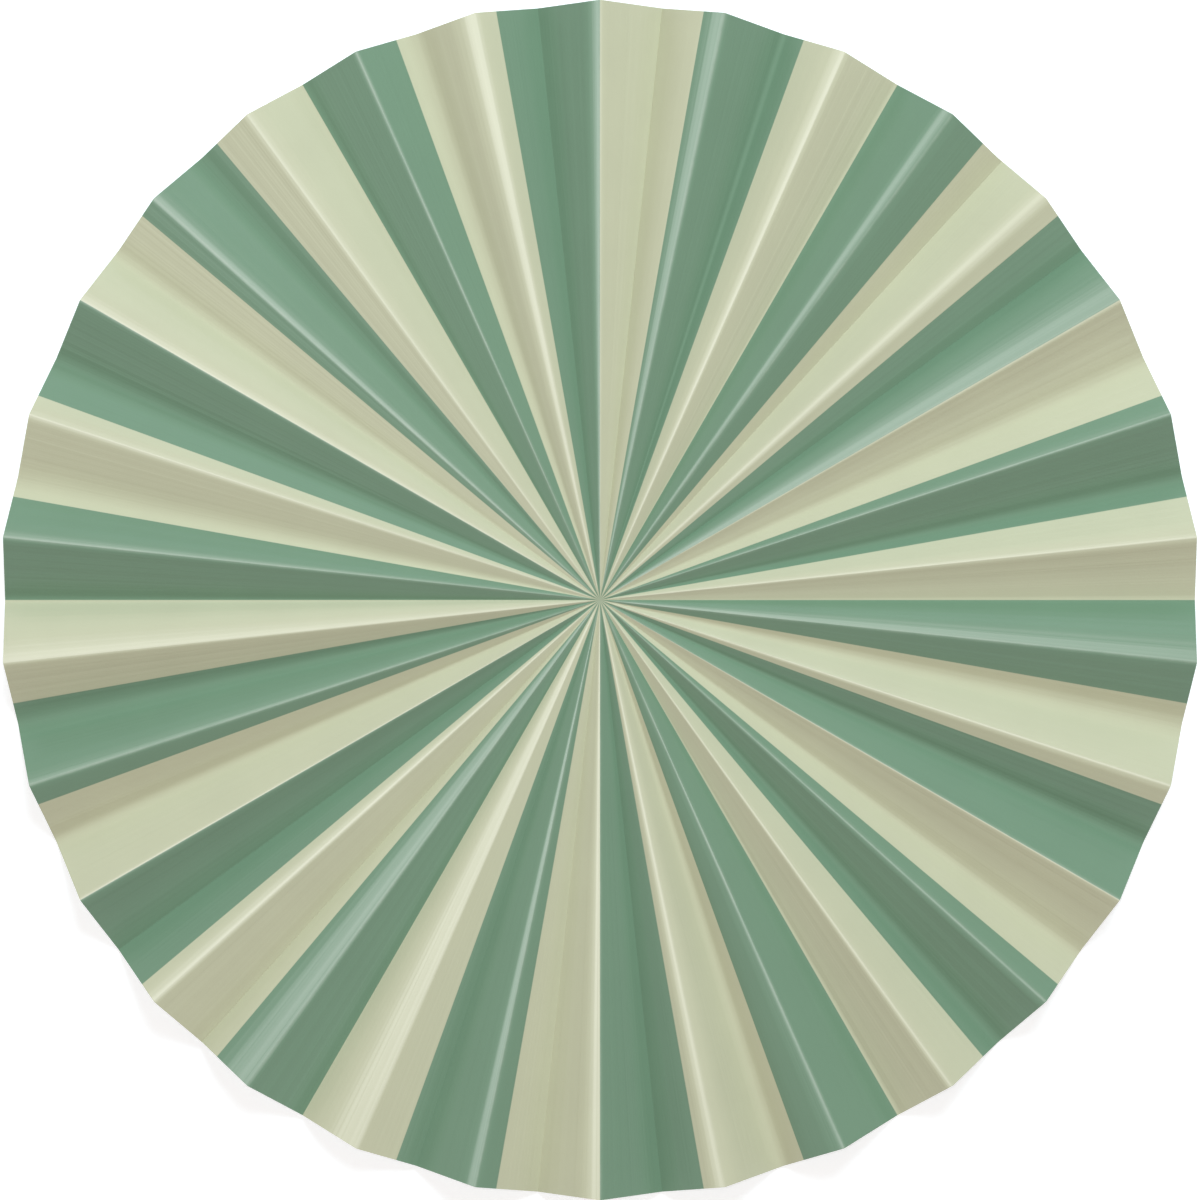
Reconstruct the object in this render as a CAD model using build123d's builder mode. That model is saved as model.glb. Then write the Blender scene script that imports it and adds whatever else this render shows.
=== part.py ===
from build123d import *
import os
from math import asin, cos, degrees, radians, sin, sqrt

# A paper fan medallion: one round sheet of paper, pleated along straight folds that all meet
# at its centre. Every fold line is straight, and the depth of the pleats grows evenly from
# nothing at the centre to its full size at the rim. The sheet lies on its back: the valley
# folds are level, and the ridge folds climb towards the rim. +Z points out of the front, and +Y
# points to the top, where one ridge fold runs. The origin is at the centre of the back.

# Driving dimensions, in millimetres
sheet_radius = 150.0  # length of every fold, from the centre to the rim
pleat_count = 30
pleat_depth = 8.6  # ridge above valley at the rim
ridge_bend_radius = 3.0  # bend of the paper over a ridge, at the rim
valley_bend_radius = 4.5  # bend of the paper in the bottom of a valley, at the rim
paper_thickness = 0.25
centre_flat_radius = 1.5  # the folds run out into this small pressed flat
strips_per_half_bend = 3  # each bend is made of twice this number of narrow flat strips

# Each bend follows a round cone with its tip at the centre: the ridge's cone lies under the
# paper, and the valley's cone lies on it, touching the level that the folds rest on
half_pleat = radians(180.0 / pleat_count)
ridge_cone = asin(ridge_bend_radius / sheet_radius)
valley_cone = asin(valley_bend_radius / sheet_radius)
ridge_climb = asin(pleat_depth / sheet_radius)
ridge_axis = Vector(0, cos(ridge_climb - ridge_cone), sin(ridge_climb - ridge_cone))
ridge_top = Vector(0, cos(ridge_climb), sin(ridge_climb))
valley_axis = Vector(
    sin(half_pleat) * cos(valley_cone),
    cos(half_pleat) * cos(valley_cone),
    sin(valley_cone),
)
valley_bottom = Vector(sin(half_pleat), cos(half_pleat), 0)

# A flat panel touches both cones along straight lines. Its upward normal leans away from the
# ridge's axis by the one cone's angle and towards the valley's axis by the other's
ridge_sine = sin(ridge_cone)
valley_sine = sin(valley_cone)
axes_cosine = ridge_axis.dot(valley_axis)
axes_sine_squared = 1 - axes_cosine**2
ridge_share = -(ridge_sine + axes_cosine * valley_sine) / axes_sine_squared
valley_share = (valley_sine + axes_cosine * ridge_sine) / axes_sine_squared
in_plane_squared = (
    ridge_share**2 + valley_share**2 + 2 * ridge_share * valley_share * axes_cosine
)
upward_share = sqrt((1 - in_plane_squared) / axes_sine_squared)
panel_normal = (
    ridge_axis * ridge_share
    + valley_axis * valley_share
    + valley_axis.cross(ridge_axis) * upward_share
)
panel_start = (ridge_axis + panel_normal * ridge_sine).normalized()
panel_end = (valley_axis - panel_normal * valley_sine).normalized()

# Both faces of the sheet have one shape, an upright distance apart, which gives the sloping
# panels the paper's thickness square to their faces
upright_thickness = paper_thickness / panel_normal.Z

# The panels and strips start out longer than the sheet, and the pleat's outline trims them
reach = 1.1 * sheet_radius

# Where the folds end, seen from above: a ridge leans back as it climbs, and a valley lies level
ridge_end_y = sqrt(sheet_radius**2 - pleat_depth**2)
valley_end_x = sheet_radius * sin(half_pleat)
valley_end_y = sheet_radius * cos(half_pleat)


def steps_round(axis, first, last):
    """Lists directions from the first to the last, in equal turns about a cone's axis."""
    first_side = first - axis * first.dot(axis)
    last_side = last - axis * last.dot(axis)
    turn = first_side.get_signed_angle(last_side, axis)
    cone_line = Axis((0, 0, 0), axis)
    return [
        first.rotate(cone_line, turn * step / strips_per_half_bend)
        for step in range(strips_per_half_bend + 1)
    ]


# Straight lines on the paper's underside, from the top of a ridge to the bottom of the valley to
# its right. The widest gap between two of them, in the middle, is the flat panel
paper_lines = steps_round(ridge_axis, ridge_top, panel_start)
paper_lines += steps_round(valley_axis, panel_end, valley_bottom)

# Half a pleat: the strip between each two neighbouring lines is drawn in its own sloping plane
# and thickened straight up, so that it meets the next strip along one upright face
with BuildPart() as half_a_pleat:
    for left, right in zip(paper_lines, paper_lines[1:]):
        with BuildSketch(Plane(origin=(0, 0, 0), x_dir=left, z_dir=right.cross(left))):
            with BuildLine():
                right_corner = Vector(reach, 0).rotate(Axis.Z, -left.get_angle(right))
                Polyline((0, 0), (reach, 0), right_corner, close=True)
            make_face()
        extrude(amount=upright_thickness, dir=(0, 0, 1))

# One pleat, from valley to valley. Each panel's outer edge is cut straight between its folds
with BuildPart() as pleat:
    add(half_a_pleat.part)
    mirror(about=Plane.YZ)
    with BuildSketch(Plane.XY.offset(-pleat_depth)):
        with BuildLine():
            inner_half_width = centre_flat_radius * sin(half_pleat) / cos(half_pleat)
            Polyline(
                (-inner_half_width, centre_flat_radius),
                (-valley_end_x, valley_end_y),
                (0, ridge_end_y),
                (valley_end_x, valley_end_y),
                (inner_half_width, centre_flat_radius),
                close=True,
            )
        make_face()
    extrude(amount=3 * pleat_depth, mode=Mode.INTERSECT)

# The whole sheet: the pleats side by side round the pressed flat at the centre
with BuildPart() as pleated_sheet:
    with BuildSketch():
        RegularPolygon(
            centre_flat_radius,
            pleat_count,
            major_radius=False,
            rotation=90 - degrees(half_pleat),
        )
    extrude(amount=upright_thickness)
    with PolarLocations(0, pleat_count):
        add(pleat.part)

os.makedirs("parts", exist_ok=True)
pleated_sheet.part.label = "pleated_sheet"
export_step(pleated_sheet.part, "parts/pleated_sheet.step")
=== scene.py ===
# %% [markdown]
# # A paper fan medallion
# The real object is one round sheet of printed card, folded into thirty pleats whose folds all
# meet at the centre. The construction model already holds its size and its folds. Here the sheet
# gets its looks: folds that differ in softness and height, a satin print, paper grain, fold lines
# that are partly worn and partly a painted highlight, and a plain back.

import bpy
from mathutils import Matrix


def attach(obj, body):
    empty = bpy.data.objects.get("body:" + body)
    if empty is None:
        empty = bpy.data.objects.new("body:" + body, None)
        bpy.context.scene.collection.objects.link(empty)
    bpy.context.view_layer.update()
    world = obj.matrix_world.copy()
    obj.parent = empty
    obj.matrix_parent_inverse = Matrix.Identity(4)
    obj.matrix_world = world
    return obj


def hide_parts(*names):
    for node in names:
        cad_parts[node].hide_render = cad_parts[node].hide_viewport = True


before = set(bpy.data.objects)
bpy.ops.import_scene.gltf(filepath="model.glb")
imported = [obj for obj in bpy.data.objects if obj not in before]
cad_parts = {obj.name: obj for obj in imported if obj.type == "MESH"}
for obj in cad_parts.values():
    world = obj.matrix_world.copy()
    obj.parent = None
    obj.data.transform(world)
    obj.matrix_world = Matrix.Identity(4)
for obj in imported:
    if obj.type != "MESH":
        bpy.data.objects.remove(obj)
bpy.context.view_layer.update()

# %% [markdown]
# The mesh is worked on with bmesh and Blender's own vectors. Python adds its mathematics and seeded
# random numbers.

# %% Libraries
import random
from math import atan, atan2, cos, degrees, pi, radians, sin, sqrt

import bmesh
import bpy
from mathutils import Vector

# %% [markdown]
# The photograph looks straight down on the fan, and the fan just fills it. A ridge's end stands
# nearer to the camera than a valley's, so it lies a little further out in the picture. How much
# further gives the camera's height, and the valley's end gives the angle of view.

# %% Camera
fold_length = 0.150
camera_height = 0.797
valley_end_share = 594.7 / 600.0  # of the picture's half width

camera_data = bpy.data.cameras.new("camera")
camera_data.angle = 2 * atan(fold_length / camera_height / valley_end_share)
camera = bpy.data.objects.new("camera", camera_data)
camera.location = (0, 0, camera_height)
bpy.context.scene.collection.objects.link(camera)
bpy.context.scene.camera = camera
print("angle of view", round(degrees(camera_data.angle), 2))

# %% [markdown]
# The sheet's measures are those of the construction model: every fold is 150 mm long, and a ridge
# stands 8.6 mm above a valley at the rim. Bearings run clockwise from the top of the fan, like a
# clock's hands, with a ridge at every twelve degrees.

# %% Measures of the sheet
pleat_depth = 0.0086
pleat_count = 30
sheet_thickness = 0.000285  # straight up: the card is 0.25 mm thick square to its faces
centre_flat_radius = 0.0015
steps_per_side = 36  # mesh steps in half a pleat
pleat_angle = 360 / pleat_count
side_angle = pleat_angle / 2
ridge_reach = sqrt(fold_length**2 - pleat_depth**2)
print("ridges", pleat_count, "reach", ridge_reach)

# %% [markdown]
# No two folds of a hand-made fan are alike. Some are creased sharp, and over others the card rolls
# softly. Some sides are bowed, so they flatten towards the ridge and catch a broad sheen, and some
# are hollow, so they turn darkest beside the ridge. These are chosen from the photograph.
# For each ridge, the first tables give how steep the side is right at the crest, as a share of its
# full slope, with a minus where the card still climbs there. Then come the degrees that the roll
# takes, and how far the side is bowed, with a minus for a hollow side. Sides that aren't listed
# are plain. The last table names the valleys with a rounded bottom, with the degrees that it takes
# up on each side. The other valleys are creased sharp.

# %% Sides left of the ridges
plain_side = (0.3, 0.5, 0.0)
left_sides = {
    0: (-0.05, 1.6, 0.1),
    12: (0.0, 1.3, 2.0),
    24: (0.15, 2.1, 0.35),
    36: (-0.25, 1.9, 0.1),
    48: (-0.1, 2.0, 0.1),
    60: (0.3, 6.0, 1.9),
    72: (0.2, 1.2, 0.0),
    84: (0.2, 1.8, 0.0),
    96: (0.3, 6.0, 1.9),
    108: (0.5, 1.0, 0.2),
    120: (0.4, 0.5, 0.0),
    132: (0.3, 1.0, 0.0),
    144: (0.5, 0.8, 0.0),
    156: (0.0, 0.3, 0.0),
    168: (0.2, 2.0, -0.2),
    216: (0.3, 0.5, -0.4),
    240: (0.3, 0.5, -0.5),
    288: (0.3, 0.9, 0.0),
    300: (0.4, 0.5, 0.0),
    348: (-0.05, 2.9, 0.1),
}
print("left sides with a shape of their own", len(left_sides))

# %% Sides right of the ridges
right_sides = {
    12: (0.2, 0.6, 0.0),
    24: (0.1, 0.8, 0.0),
    36: (0.5, 1.0, 0.0),
    48: (0.3, 0.6, 0.0),
    60: (0.1, 0.4, -0.8),
    72: (0.6, 1.0, -0.4),
    84: (0.3, 0.6, -0.8),
    96: (0.5, 0.5, 0.0),
    108: (0.3, 0.8, 0.1),
    120: (0.3, 0.4, -0.5),
    132: (0.15, 0.9, -0.2),
    144: (0.0, 0.8, -0.2),
    156: (0.2, 0.6, 1.2),
    168: (-0.1, 1.5, 0.2),
    180: (-0.15, 2.0, 0.3),
    192: (-0.1, 1.3, 0.4),
    204: (0.1, 5.0, 1.8),
    216: (0.1, 6.0, 1.9),
    228: (0.15, 1.8, 0.5),
    240: (0.3, 0.7, 0.0),
    252: (0.15, 2.4, 0.0),
    264: (0.25, 5.0, 1.5),
    276: (0.15, 2.2, -0.2),
    288: (0.2, 1.8, -0.6),
    300: (0.45, 5.0, 1.3),
    312: (0.15, 1.4, 0.0),
    324: (0.2, 2.0, 0.0),
    336: (0.2, 0.5, 0.0),
    348: (0.2, 0.9, 0.0),
}
print("right sides with a shape of their own", len(right_sides))

# %% Rounded valleys
sharp_spread = 0.05
wide_valleys = {
    18: 0.4,
    30: 0.5,
    66: 0.8,
    78: 0.8,
    90: 0.5,
    102: 1.6,
    114: 0.8,
    126: 0.7,
    138: 0.8,
    150: 0.5,
    162: 1.0,
    246: 0.8,
    258: 1.6,
    270: 0.5,
    282: 1.6,
    294: 1.2,
    306: 0.9,
    318: 0.8,
    330: 0.5,
    342: 1.2,
}
print("rounded valleys", len(wide_valleys), "of", pleat_count)

# %% [markdown]
# Nor are the pleats quite equally deep. The shaded sides show it: the steeper a side, the darker it
# is. Heights at the rim are shares of the full depth. They are never below nought or above one, so
# that the sheet keeps to the construction model's box, within about a tenth of a millimetre. Some
# valleys also lie a little to one side of the middle between their ridges. The last table gives
# their shifts in mesh steps, each a sixth of a degree, with a minus for anticlockwise.

# %% Heights of the ridges
plain_ridge = 0.96
ridge_shares = {
    0: 1.0,
    12: 1.0,
    24: 0.98,
    36: 1.0,
    48: 0.84,
    60: 0.93,
    72: 1.0,
    84: 0.9,
    96: 1.0,
    120: 1.0,
    132: 1.0,
    144: 1.0,
    156: 1.0,
    168: 1.0,
    180: 1.0,
    192: 0.98,
    204: 0.7,
    216: 0.86,
    228: 1.0,
    240: 1.0,
    252: 1.0,
    264: 1.0,
    276: 1.0,
    288: 0.82,
    300: 0.96,
    312: 0.66,
    324: 0.72,
    336: 0.79,
    348: 0.9,
}
print("lowest ridge", min(ridge_shares.values()), "of the full depth")

# %% Heights of the valleys
plain_valley = 0.04
valley_shares = {
    6: 0.0,
    18: 0.02,
    30: 0.12,
    42: 0.0,
    54: 0.2,
    66: 0.12,
    78: 0.0,
    90: 0.13,
    102: 0.0,
    126: 0.0,
    138: 0.0,
    150: 0.0,
    162: 0.0,
    174: 0.0,
    186: 0.0,
    198: 0.1,
    210: 0.08,
    222: 0.18,
    234: 0.0,
    246: 0.0,
    258: 0.0,
    270: 0.0,
    282: 0.18,
    294: 0.16,
    306: 0.13,
    318: 0.2,
    342: 0.08,
    354: 0.0,
}
print("highest valley", max(valley_shares.values()), "of the full depth")

# %% Shifts of the valleys
valley_shifts = {
    42: 3,
    66: 2,
    78: 2,
    102: 2,
    114: 1,
    126: 3,
    162: 2,
    282: -2,
    294: -2,
    306: -3,
    318: -1,
    342: -3,
}
print("shifted valleys", len(valley_shifts))

# %% [markdown]
# The rim's height falls from each ridge to the valley beside it. The slope starts small where the
# card rolls over the ridge, follows the panel, and dies away in a rounded valley. It also wavers a
# little, as hand-folded card does. The slopes are added up step by step, and the sum is scaled so
# that each side ends at its valley's height.

# %% Side profile
roll_power = 1.3  # above one, so that a roll starts gently
waver = 0.02  # of the slope
waver_angle = 2.6  # from one wave to the next
unevenness = random.Random(12)


def ramp(value):
    """Rises evenly from 0 to 1, and stays there."""
    return min(max(value, 0.0), 1.0)


def side_heights(crest, roll, bow, spread, top, bottom, steps):
    """Heights from ridge to valley, at equal steps across one side of a pleat."""
    width = steps * side_angle / steps_per_side
    phase = unevenness.uniform(0, 2 * pi)
    slopes = []
    for step in range(steps):
        away = (step + 0.5) * width / steps
        rolled = crest + (1 - crest) * ramp(away / roll) ** roll_power
        trough = ramp((width - away) / spread)
        bent = 1 - bow * (0.5 - away / width)
        wavy = 1 + waver * sin(phase + 2 * pi * away / waver_angle)
        slopes.append(rolled * trough * bent * wavy)
    heights = [top]
    for slope in slopes:
        heights.append(heights[-1] - (top - bottom) * slope / sum(slopes))
    return heights


# %% Heights round the rim
rim_heights = []
crisp_bearings = []
for ridge in range(pleat_count):
    bearing = round(ridge * pleat_angle)
    next_bearing = round((ridge + 1) * pleat_angle) % 360
    valley_bearing = round(bearing + side_angle)
    spread = wide_valleys.get(valley_bearing, sharp_spread)
    bottom = valley_shares.get(valley_bearing, plain_valley)
    shift = valley_shifts.get(valley_bearing, 0)
    if valley_bearing not in wide_valleys:
        crisp_bearings.append(round(valley_bearing + shift * side_angle / steps_per_side, 2))
    for table, top_bearing, steps in (
        (right_sides, bearing, steps_per_side + shift),
        (left_sides, next_bearing, steps_per_side - shift),
    ):
        top = ridge_shares.get(top_bearing, plain_ridge)
        side = side_heights(*table.get(top_bearing, plain_side), spread, top, bottom, steps)
        rim_heights += side[:-1] if table is right_sides else side[:0:-1]
corner_count = len(rim_heights)
print("steps round the rim", corner_count)

# %% [markdown]
# The mesh starts as a circle with one corner for each step. Each corner moves to its height, and
# to the straight cut that joins the end of a ridge to the end of the next valley: a strip of card
# that is trimmed before it is folded has such a rim. Where a pleat is shallower, its cut shifts by
# up to about half a millimetre, so that all the folds end where the photograph shows them.

# %% Rim line
def rim_radius(bearing, height):
    """Distance from the centre to the cut, for card at this height."""
    away = bearing % pleat_angle
    away = radians(min(away, pleat_angle - away))
    rest = radians(side_angle) - away
    meeting = ridge_reach * sin(away) + fold_length * sin(rest)
    straight_cut = ridge_reach * fold_length * sin(radians(side_angle)) / meeting
    even_height = pleat_depth * rest / radians(side_angle)
    return straight_cut * (camera_height - height) / (camera_height - even_height)


sheet_mesh = bmesh.new()
bmesh.ops.create_circle(sheet_mesh, segments=corner_count, radius=fold_length)
for corner in sheet_mesh.verts:
    step = round(degrees(atan2(corner.co.x, corner.co.y)) % 360 / 360 * corner_count)
    step %= corner_count
    bearing = 360 * step / corner_count
    height = rim_heights[step] * pleat_depth
    reach = rim_radius(bearing, height)
    corner.co = (reach * sin(radians(bearing)), reach * cos(radians(bearing)), height)
print("rim corners", len(sheet_mesh.verts))

# %% [markdown]
# Every fold runs straight to the centre, so the sheet is a cone over its rim line. The rim's edges
# are extruded inwards and scaled towards the centre, ring by ring. Right at the centre the card is
# pressed flat: the folds run out, and the last ring is merged into one point.

# %% Rings to the centre
ring_shares = (0.5, 0.15, 0.04, centre_flat_radius / fold_length, 0.004, 0.0)  # of the radius
merge_distance = 1e-7
ring_edges = list(sheet_mesh.edges)
share_now = 1.0
for share in ring_shares:
    made = bmesh.ops.extrude_edge_only(sheet_mesh, edges=ring_edges)["geom"]
    ring = [item for item in made if isinstance(item, bmesh.types.BMVert)]
    ring_edges = [
        item for item in made if isinstance(item, bmesh.types.BMEdge) and item.is_boundary
    ]
    shrink = share / share_now
    bmesh.ops.scale(sheet_mesh, vec=(shrink, shrink, shrink), verts=ring)
    if share * fold_length < centre_flat_radius:
        bmesh.ops.scale(sheet_mesh, vec=(1, 1, 0), verts=ring)
    share_now = share
bmesh.ops.remove_doubles(sheet_mesh, verts=ring, dist=merge_distance)
bmesh.ops.recalc_face_normals(sheet_mesh, faces=sheet_mesh.faces)
if sum(face.normal.z for face in sheet_mesh.faces) < 0:
    bmesh.ops.reverse_faces(sheet_mesh, faces=sheet_mesh.faces)
print("faces on one side", len(sheet_mesh.faces))

# %% [markdown]
# Smooth shading blends the light across every edge, which would draw a pale line in the bottom of a
# crisp valley. So the edges along those valleys are marked sharp, and the two panels meet there
# without a blend. They are found by their bearings: both ends of such an edge lie on one valley.

# %% Sharp valleys
def bearing_of(corner):
    """Bearing of a corner from the centre, in degrees."""
    return round(degrees(atan2(corner.co.x, corner.co.y)) % 360, 2)


sharp_edges = []
for fold in sheet_mesh.edges:
    bearing, other_bearing = [bearing_of(corner) for corner in fold.verts]
    if bearing == other_bearing and bearing in crisp_bearings:
        fold.smooth = False
        sharp_edges.append(fold)
print("sharp edges", len(sharp_edges))

# %% [markdown]
# The card's two faces have one shape, so the back is a copy of the front, turned to face down, and
# the cut rim joins the two. Offsetting along the normals would fold the back into itself near the
# centre, where the pleats are finer than the card is thick. Three material numbers keep the
# printed front, the plain back and the cut edge apart.

# %% Thickness
back_number = 1  # the front's number is 0
cut_number = 2
front_faces = list(sheet_mesh.faces)
copied = bmesh.ops.duplicate(sheet_mesh, geom=front_faces)["geom"]
back_faces = [item for item in copied if isinstance(item, bmesh.types.BMFace)]
front_corners = list({corner for face in front_faces for corner in face.verts})
bmesh.ops.translate(sheet_mesh, vec=(0, 0, sheet_thickness), verts=front_corners)
bmesh.ops.reverse_faces(sheet_mesh, faces=back_faces)
for face in back_faces:
    face.material_index = back_number

open_edges = [edge for edge in sheet_mesh.edges if edge.is_boundary]
cut_faces = bmesh.ops.bridge_loops(sheet_mesh, edges=open_edges)["faces"]
for face in cut_faces:
    face.material_index = cut_number
for face in sheet_mesh.faces:
    face.smooth = True
for edge in open_edges:
    edge.smooth = False
bmesh.ops.recalc_face_normals(sheet_mesh, faces=cut_faces)
print("faces of the cut edge", len(cut_faces))

# %% [markdown]
# Mesh operators may make their faces in another order in each run. Sorting the corners by their
# places, and then the edges and the faces by their corners, gives the same mesh every time.

# %% Order of the mesh
def put_in_order(items, place):
    """Sorts corners, edges or faces by a place that is the same in every run."""
    ranks = {item: rank for rank, item in enumerate(sorted(items, key=place))}
    items.sort(key=ranks.get)
    items.index_update()


def corner_numbers(item):
    """Numbers of the corners of an edge or a face, from low to high."""
    return sorted(corner.index for corner in item.verts)


put_in_order(sheet_mesh.verts, lambda corner: tuple(corner.co))
put_in_order(sheet_mesh.edges, corner_numbers)
put_in_order(sheet_mesh.faces, corner_numbers)
print("corners in order", len(sheet_mesh.verts))

# %% [markdown]
# The finished mesh becomes one object, which stays at the origin. It takes the place of the
# construction model's sheet, and goes with its one body.

# %% Sheet
sheet_data = bpy.data.meshes.new("printed_sheet")
sheet_mesh.to_mesh(sheet_data)
sheet_mesh.free()
sheet = bpy.data.objects.new("printed_sheet", sheet_data)
bpy.context.scene.collection.objects.link(sheet)
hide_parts("pleated_sheet")
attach(sheet, "root")
print("sheet", len(sheet_data.polygons), "faces", tuple(sheet.dimensions))

# %% [markdown]
# The finishes share a few effects, so each is a node group: places on the fan, paper grain, lines
# along the ridges and press streaks. Short helpers lay out the nodes. One adds any node, and the
# others add the kinds that come up often, so that a finish reads like a recipe.

# %% Node helpers
def add_node(tree, kind, inputs=None, **settings):
    """Adds a node. Each input is a plain value, or the output of another node."""
    made = tree.nodes.new(kind)
    for name, value in settings.items():
        setattr(made, name, value)
    for name, value in (inputs or {}).items():
        if isinstance(value, bpy.types.NodeSocket):
            tree.links.new(value, made.inputs[name])
        else:
            made.inputs[name].default_value = value
    return made


def maths(tree, operation, *values, clamp=False):
    """Adds a Math node and gives back its output."""
    inputs = dict(enumerate(values))
    made = add_node(tree, "ShaderNodeMath", inputs, operation=operation, use_clamp=clamp)
    return made.outputs[0]


def vector_maths(tree, operation, *values):
    """Adds a Vector Math node. Its first output is a vector, and its second is a number."""
    return add_node(tree, "ShaderNodeVectorMath", dict(enumerate(values)), operation=operation)


def map_range(tree, value, from_low, from_high, to_low, to_high):
    """Carries a value from one range over to another, and holds it between the ends."""
    ends = {"From Min": from_low, "From Max": from_high, "To Min": to_low, "To Max": to_high}
    return add_node(tree, "ShaderNodeMapRange", {"Value": value, **ends}).outputs[0]


# %% Texture helpers
def noise(tree, place, scale, detail, roughness):
    """Adds a Noise Texture and gives back its grey output."""
    inputs = {"Vector": place, "Scale": scale, "Detail": detail, "Roughness": roughness}
    return add_node(tree, "ShaderNodeTexNoise", inputs).outputs[0]


def bump(tree, height, strength, distance, **under):
    """Adds a Bump node. It lies on another bump when that one is given as Normal."""
    inputs = {"Height": height, "Strength": strength, "Distance": distance, **under}
    return add_node(tree, "ShaderNodeBump", inputs).outputs[0]


# %% Group helpers
NUMBER = "NodeSocketFloat"
VECTOR = "NodeSocketVector"


def new_group(name, inputs, outputs):
    """Starts a node group with number or vector sockets, and gives its two ends."""
    group = bpy.data.node_groups.new(name, "ShaderNodeTree")
    for socket_name, kind in inputs.items():
        group.interface.new_socket(socket_name, in_out="INPUT", socket_type=kind)
    for socket_name, kind in outputs.items():
        group.interface.new_socket(socket_name, in_out="OUTPUT", socket_type=kind)
    return group, group.nodes.new("NodeGroupInput"), group.nodes.new("NodeGroupOutput")


def put_out(group, result, values):
    """Links values to a group's outputs by name."""
    for name, value in values.items():
        group.links.new(value, result.inputs[name])
    print("group", group.name, "has", len(group.nodes), "nodes")


# %% [markdown]
# Stripes and folds both follow the bearing and the distance from the centre, and both are read
# from the object's own coordinates. Thirty-six stripes take turns in two colours, so a sine with
# half as many waves round the fan changes sign at each stripe's edge. Multiplied by the distance
# from the centre, it becomes a length, and a print edge 0.15 mm soft follows from it. Near the
# centre, where the stripes are finer than that, the two colours melt into one, as in the photograph.

# %% Places on the fan
stripe_count = 36
waves_round = stripe_count / 2
print_edge = 0.00015

places, given, result = new_group(
    "places on the fan",
    {"Place": VECTOR},
    {
        "Stripe": NUMBER,
        "From Ridge": NUMBER,
        "Ridge Share": NUMBER,
        "Radius": NUMBER,
        "Direction": VECTOR,
    },
)
flat = vector_maths(places, "MULTIPLY", given.outputs["Place"], (1, 1, 0)).outputs[0]
apart = add_node(places, "ShaderNodeSeparateXYZ", {0: flat})
radius = vector_maths(places, "LENGTH", flat).outputs[1]
bearing = maths(places, "ARCTAN2", apart.outputs["X"], apart.outputs["Y"])
wave = maths(places, "SINE", maths(places, "MULTIPLY", bearing, waves_round))
off_edge = maths(places, "MULTIPLY", wave, maths(places, "MULTIPLY", radius, 1 / waves_round))
edge_share = maths(places, "DIVIDE", off_edge, print_edge)
off_ridge = maths(places, "PINGPONG", bearing, radians(side_angle))
found = {
    "Stripe": maths(places, "SUBTRACT", 0.5, edge_share, clamp=True),
    "From Ridge": maths(places, "MULTIPLY", off_ridge, radius),
    "Ridge Share": maths(places, "DIVIDE", off_ridge, radians(side_angle)),
    "Radius": radius,
    "Direction": vector_maths(places, "NORMALIZE", flat).outputs[0],
}
put_out(places, result, found)

# %% [markdown]
# Card isn't quite smooth: pulp leaves a fine grain, and the ink takes unevenly on it. One group
# gives both, as a height for bump and a cloudy number between nought and one for colour.

# %% Paper grain
grain, given, result = new_group(
    "paper grain",
    {"Place": VECTOR, "Grain Size": NUMBER, "Cloud Size": NUMBER},
    {"Height": NUMBER, "Cloud": NUMBER},
)
fine_scale = maths(grain, "DIVIDE", 1.0, given.outputs["Grain Size"])
cloud_scale = maths(grain, "DIVIDE", 1.0, given.outputs["Cloud Size"])
fine = noise(grain, given.outputs["Place"], fine_scale, detail=3.0, roughness=0.6)
cloud = noise(grain, given.outputs["Place"], cloud_scale, detail=4.0, roughness=0.55)
put_out(grain, result, {"Height": fine, "Cloud": cloud})

# %% [markdown]
# A patchy line, about a millimetre wide, runs along the top of each ridge and comes and goes.
# Noise breaks the line up, so no two ridges look alike. On the front the ink is a little paler
# there: partly rubbed ink, and partly a painted highlight of the glint along the crest.

# %% Lines along the ridges
patches_per_metre = 90.0
patch_span = (0.35, 0.65)
faintest_band = 0.25

lined, given, result = new_group(
    "worn folds",
    {"From Fold": NUMBER, "Line Width": NUMBER, "Place": VECTOR},
    {"Band": NUMBER},
)
near = maths(lined, "DIVIDE", given.outputs["From Fold"], given.outputs["Line Width"])
line = maths(lined, "SUBTRACT", 1.0, near, clamp=True)
patches = noise(lined, given.outputs["Place"], patches_per_metre, detail=4.0, roughness=0.7)
patchy = map_range(lined, patches, *patch_span, faintest_band, 1.0)
put_out(lined, result, {"Band": maths(lined, "MULTIPLY", line, patchy)})

# %% [markdown]
# Rollers and folding leave faint straight streaks along the folds. They change only with the
# direction from the centre, so noise on the direction gives them. The height grows with the
# radius, which keeps their slope the same from the centre to the rim.

# %% Press streaks
streak_scale = 45.0

streaks, given, result = new_group(
    "press streaks",
    {"Direction": VECTOR, "Radius": NUMBER},
    {"Streak": NUMBER, "Height": NUMBER},
)
bands = noise(streaks, given.outputs["Direction"], streak_scale, detail=3.0, roughness=0.6)
streak_height = maths(streaks, "MULTIPLY", bands, given.outputs["Radius"])
put_out(streaks, result, {"Streak": bands, "Height": streak_height})

# %% [markdown]
# The card has three surfaces: the printed front, the plain back and the cut edge. Each gets a
# material of its own. These helpers start one, mix two colours, and place a group in it.

# %% Material helpers
def new_material(name):
    """Starts a material and gives its node tree, its shader and its object coordinates."""
    material = bpy.data.materials.new(name)
    material.use_nodes = True
    tree = material.node_tree
    place = add_node(tree, "ShaderNodeTexCoord").outputs["Object"]
    return material, tree, tree.nodes["Principled BSDF"], place


def mixed(tree, share, first, second, blend="MIX"):
    """Mixes two colours by a share, and gives back the output."""
    inputs = {0: share, 6: first, 7: second}
    made = add_node(tree, "ShaderNodeMix", inputs, data_type="RGBA", blend_type=blend)
    return made.outputs[2]


def use_group(tree, group, inputs):
    """Places a node group in a material, with this material's own values."""
    return add_node(tree, "ShaderNodeGroup", inputs, node_tree=group)
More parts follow.
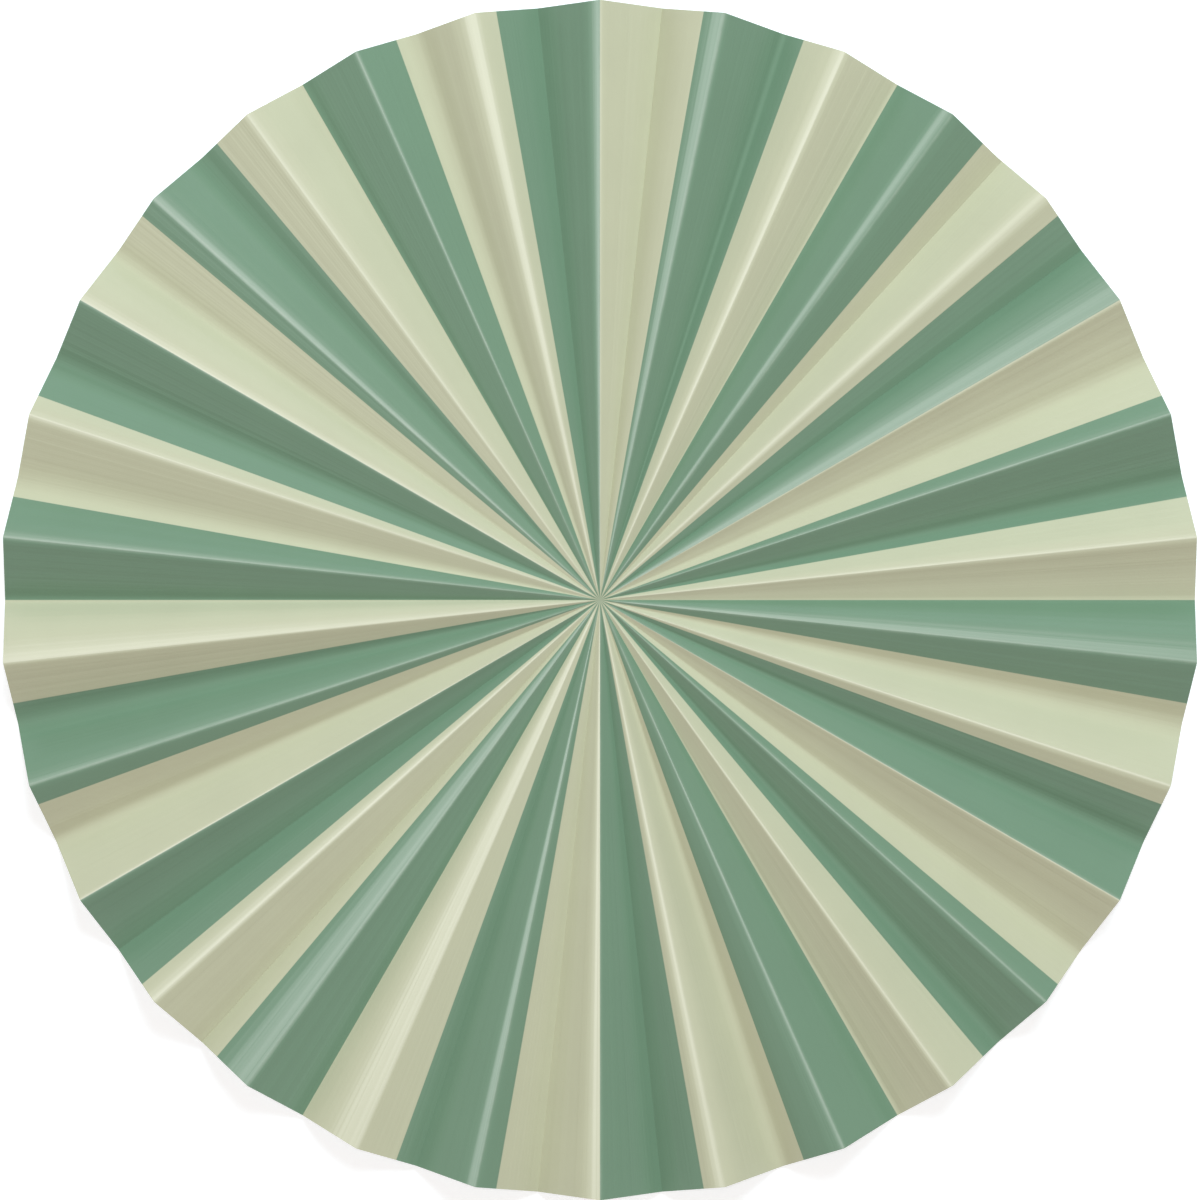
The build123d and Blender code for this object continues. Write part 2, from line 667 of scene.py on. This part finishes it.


# %% [markdown]
# The front is a satin print in cream and sage green. An image could carry the stripes, but worked
# out from the place on the fan they stay crisp in any close view. The ink is a little cloudy. Along
# each ridge it turns towards the pale bare card: partly where the ridge is rubbed, and partly as a
# painted highlight of the glint along the crest.

# %% Colours of the front
cream = (0.487, 0.502, 0.349, 1)
sage = (0.122, 0.227, 0.144, 1)
bare_card_and_highlight = (0.80, 0.79, 0.70, 1)
noise_span = (0.3, 0.7)  # holds nearly all of a noise texture's values
ink_span = (0.98, 1.02)
band_half_width = 0.0007  # on each side of the fold
highlight_and_rubbing = 0.1

front, tree, shader, place = new_material("printed front")
spot = use_group(tree, places, {"Place": place})
paper = use_group(tree, grain, {"Place": place, "Grain Size": 0.0009, "Cloud Size": 0.02})
ridge_line = {"From Fold": spot.outputs["From Ridge"], "Line Width": band_half_width}
ridge_band = use_group(tree, lined, {"Place": place, **ridge_line})
inks = mixed(tree, spot.outputs["Stripe"], cream, sage)
cloudy = map_range(tree, paper.outputs["Cloud"], *noise_span, *ink_span)
uneven_inks = mixed(tree, 1.0, inks, cloudy, "MULTIPLY")
# Painted highlight: the pale line along each ridge stands for the crest glint as well as rubbed ink.
highlight_and_wear_share = maths(tree, "MULTIPLY", ridge_band.outputs["Band"], highlight_and_rubbing)
rubbed_and_highlit = mixed(tree, highlight_and_wear_share, uneven_inks, bare_card_and_highlight)
tree.links.new(rubbed_and_highlit, shader.inputs["Base Color"])
print("nodes for the front's colours", len(tree.nodes))

# %% [markdown]
# The soft gloss of the print catches the light along the ridges, and varies from streak to streak.
# The valleys and the centre, where the card is squeezed when it is folded, stay matt, and the
# photograph shows no glints there. So the roughness is the sum of three parts.

# %% Gloss of the front
satin_span = (0.37, 0.46)
valley_reach = (0.66, 0.86)  # of the way from a ridge to a valley
valley_matt = 0.35
centre_reach = (0.0012, 0.004)  # from the centre
centre_matt = 0.5

streak_place = {"Direction": spot.outputs["Direction"], "Radius": spot.outputs["Radius"]}
press = use_group(tree, streaks, streak_place)
satin = map_range(tree, press.outputs["Streak"], *noise_span, *satin_span)
in_valley = map_range(tree, spot.outputs["Ridge Share"], *valley_reach, 0.0, valley_matt)
at_centre = map_range(tree, spot.outputs["Radius"], *centre_reach, centre_matt, 0.0)
matt = maths(tree, "ADD", in_valley, at_centre)
gloss = maths(tree, "ADD", satin, matt, clamp=True)
tree.links.new(gloss, shader.inputs["Roughness"])
shader.inputs["Specular IOR Level"].default_value = 0.9
print("nodes with the front's gloss", len(tree.nodes))

# %% [markdown]
# Streaks and grain are far too shallow for the mesh, so they are bumps, which only bend the light.
# The grain's bump lies on that of the streaks.

# %% Bumps of the front
streak_distance = 0.0015
grain_distance = 0.00003

streak_bump = bump(tree, press.outputs["Height"], 1.0, streak_distance)
grain_bump = bump(tree, paper.outputs["Height"], 0.25, grain_distance, Normal=streak_bump)
tree.links.new(grain_bump, shader.inputs["Normal"])
print("nodes of the printed front", len(tree.nodes))

# %% [markdown]
# The back isn't printed. It is plain, slightly warm card, matt and fibrous, and the stripes show
# through it very faintly. A faint darker line follows each fold that is a ridge on the front.

# %% Plain back
back_card = (0.74, 0.73, 0.64, 1)
back_fibres = (0.82, 0.81, 0.73, 1)
creased_card = (0.6, 0.58, 0.5, 1)
stripes_seen = 0.05
crease_seen = 0.15
fibre_distance = 0.00005

back, tree, shader, place = new_material("plain back")
spot = use_group(tree, places, {"Place": place})
paper = use_group(tree, grain, {"Place": place, "Grain Size": 0.0007, "Cloud Size": 0.012})
ridge_line = {"From Fold": spot.outputs["From Ridge"], "Line Width": band_half_width}
ridge_band = use_group(tree, lined, {"Place": place, **ridge_line})
card = mixed(tree, paper.outputs["Cloud"], back_card, back_fibres)
show_through = maths(tree, "MULTIPLY", spot.outputs["Stripe"], stripes_seen)
tinted = mixed(tree, show_through, card, sage)
crease = maths(tree, "MULTIPLY", ridge_band.outputs["Band"], crease_seen)
creased = mixed(tree, crease, tinted, creased_card)
tree.links.new(creased, shader.inputs["Base Color"])
shader.inputs["Roughness"].default_value = 0.75
fibre_bump = bump(tree, paper.outputs["Height"], 0.5, fibre_distance)
tree.links.new(fibre_bump, shader.inputs["Normal"])
print("nodes of the plain back", len(tree.nodes))

# %% [markdown]
# The cut rim shows the pale core of the card between the two faces, with its fibres torn a little
# by the knife. Its grain is finer than that of the faces, and its bump is stronger.

# %% Cut edge
core_card = (0.68, 0.67, 0.57, 1)
core_fibres = (0.82, 0.81, 0.74, 1)
torn_distance = 0.00004

edge, tree, shader, place = new_material("cut edge")
paper = use_group(tree, grain, {"Place": place, "Grain Size": 0.0003, "Cloud Size": 0.004})
core = mixed(tree, paper.outputs["Cloud"], core_card, core_fibres)
tree.links.new(core, shader.inputs["Base Color"])
shader.inputs["Roughness"].default_value = 0.85
cut_bump = bump(tree, paper.outputs["Height"], 0.6, torn_distance)
tree.links.new(cut_bump, shader.inputs["Normal"])

for material in (front, back, edge):
    sheet_data.materials.append(material)
print("materials", [material.name for material in sheet_data.materials])

# %% [markdown]
# The fan lies on a white table. The table adds a little light of its own for the camera alone, so
# it reads as plain white, and still darkens where the fan shades it. It is no wider than the lamps
# light well, and ends in the white surroundings, so low views have no grey band behind the fan.

# %% Table
table_half_width = 1.4
table_drop = 0.0003  # keeps the table clear of the card's back
table_colour = (0.81, 0.86, 0.89, 1)
table_glow = 0.35

table_mesh = bmesh.new()
bmesh.ops.create_grid(table_mesh, x_segments=1, y_segments=1, size=table_half_width)
bmesh.ops.translate(table_mesh, vec=(0, 0, -table_drop), verts=table_mesh.verts)
table_data = bpy.data.meshes.new("table")
table_mesh.to_mesh(table_data)
table_mesh.free()
table = bpy.data.objects.new("table", table_data)
bpy.context.scene.collection.objects.link(table)

white, tree, shader, place = new_material("white table")
shader.inputs["Base Color"].default_value = table_colour
shader.inputs["Roughness"].default_value = 0.9
seen = add_node(tree, "ShaderNodeLightPath")
own_light = maths(tree, "MULTIPLY", seen.outputs["Is Camera Ray"], table_glow)
glow = add_node(tree, "ShaderNodeEmission", {"Strength": own_light})
both = add_node(tree, "ShaderNodeAddShader", {0: shader.outputs[0], 1: glow.outputs[0]})
tree.links.new(both.outputs[0], tree.nodes["Material Output"].inputs["Surface"])
table_data.materials.append(white)
print("table", tuple(table_data.vertices[0].co), "to", tuple(table_data.vertices[-1].co))

# %% [markdown]
# The light is plain and soft. The surroundings give an even light that is a little warm. The
# camera, mirror images and light through glass see them plain white instead.

# %% Surroundings
fill_light = (1.29, 1.0, 0.855, 1)
fill_strength = 0.248
plain_white = (1, 1, 1, 1)

world = bpy.data.worlds.new("surroundings")
bpy.context.scene.world = world
world.use_nodes = True
tree = world.node_tree
path = add_node(tree, "ShaderNodeLightPath")
seen_white = maths(tree, "MAXIMUM", path.outputs["Is Camera Ray"], path.outputs["Is Glossy Ray"])
seen_white = maths(tree, "MAXIMUM", seen_white, path.outputs["Is Transmission Ray"])
sky_colour = mixed(tree, seen_white, fill_light, plain_white)
strength = map_range(tree, seen_white, 0.0, 1.0, fill_strength, 1.0)
background = tree.nodes["Background"]
tree.links.new(sky_colour, background.inputs["Color"])
tree.links.new(strength, background.inputs["Strength"])
print("nodes of the surroundings", len(tree.nodes))

# %% [markdown]
# Two round lamps hang over the fan. A broad one above the top of the picture gives a slightly cool
# light, so the sides that it reaches turn cooler than the shaded ones. It makes no mirror image,
# because the photograph shows no wide glare on those sides. A lamp almost overhead draws the
# glints along the ridges and the sheen on the bowed sides.

# %% Lamps
def add_lamp(name, bearing, from_overhead, distance, size, watts, colour):
    """Hangs a round lamp at a bearing and an angle from overhead, aimed at the fan's centre."""
    data = bpy.data.lights.new(name, "AREA")
    data.shape = "DISK"
    data.size = size
    data.energy = watts
    data.color = colour
    lamp = bpy.data.objects.new(name, data)
    outwards = sin(radians(from_overhead))
    lamp.location = distance * Vector((
        outwards * sin(radians(bearing)),
        outwards * cos(radians(bearing)),
        cos(radians(from_overhead)),
    ))
    lamp.rotation_euler = lamp.location.to_track_quat("Z", "Y").to_euler()
    bpy.context.scene.collection.objects.link(lamp)
    print(name, tuple(lamp.location))
    return lamp


broad_lamp = add_lamp(
    "broad lamp",
    bearing=12,
    from_overhead=50,
    distance=1.4,
    size=0.75,
    watts=13.3,
    colour=(0.80, 1.0, 1.08),
)
broad_lamp.visible_glossy = False
add_lamp(
    "overhead lamp",
    bearing=315,
    from_overhead=5,
    distance=4.0,
    size=1.33,
    watts=68,
    colour=(1.0, 1.0, 1.0),
)

# %% [markdown]
# The Standard view shows the colours as they were chosen, with no film-like curve.

# %% View settings
bpy.context.scene.view_settings.view_transform = "Standard"
